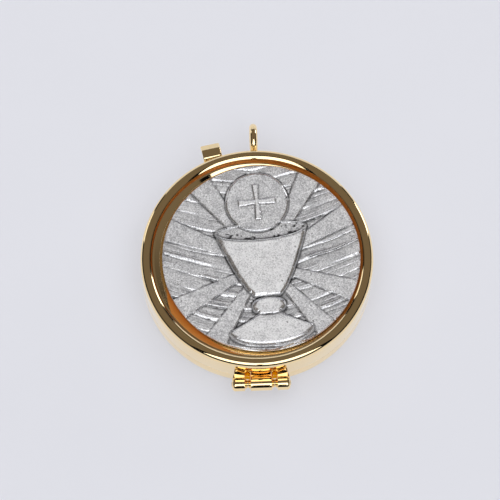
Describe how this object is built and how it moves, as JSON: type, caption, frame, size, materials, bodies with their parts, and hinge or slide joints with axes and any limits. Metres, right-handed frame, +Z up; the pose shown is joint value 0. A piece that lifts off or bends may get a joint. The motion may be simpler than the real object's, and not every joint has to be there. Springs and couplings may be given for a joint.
{
  "type": "pyx",
  "caption": "Small round pyx with a hinged lid that holds a relief medallion, a bail ring for a cord and a thumb tab; carries altar breads.",
  "frame": {"origin": "centre of the flat underside that the pyx lies on", "axes": "+Z up through the lid, +Y from the hinge to the bail ring, +X to the right seen from the hinge side"},
  "size_m": [0.054, 0.0652, 0.0125],
  "materials": {
    "gold_plate": "polished gold plate on brass",
    "pewter": "cast pewter, antiqued and brushed",
    "adhesive": "cured clear-amber glue"
  },
  "bodies": {
    "base": {"base_cup": "gold_plate", "base_collar": "gold_plate", "hinge_knuckle_centre": "gold_plate", "hinge_pin": "gold_plate", "hinge_washer_left": "gold_plate", "hinge_washer_right": "gold_plate"},
    "lid": {"lid_shell": "gold_plate", "medallion": "pewter", "adhesive_disc": "adhesive", "hinge_knuckle_left": "gold_plate", "hinge_knuckle_right": "gold_plate", "bail_ring": "gold_plate", "bail_foot": "gold_plate", "thumb_tab": "gold_plate"}
  },
  "joints": [
    {"name": "lid_hinge", "type": "hinge", "parent": "base", "child": "lid", "pos_m": [0, -0.02873, 0.0054], "axis": [1, 0, 0], "range_deg": [0, 150]}
  ]
}
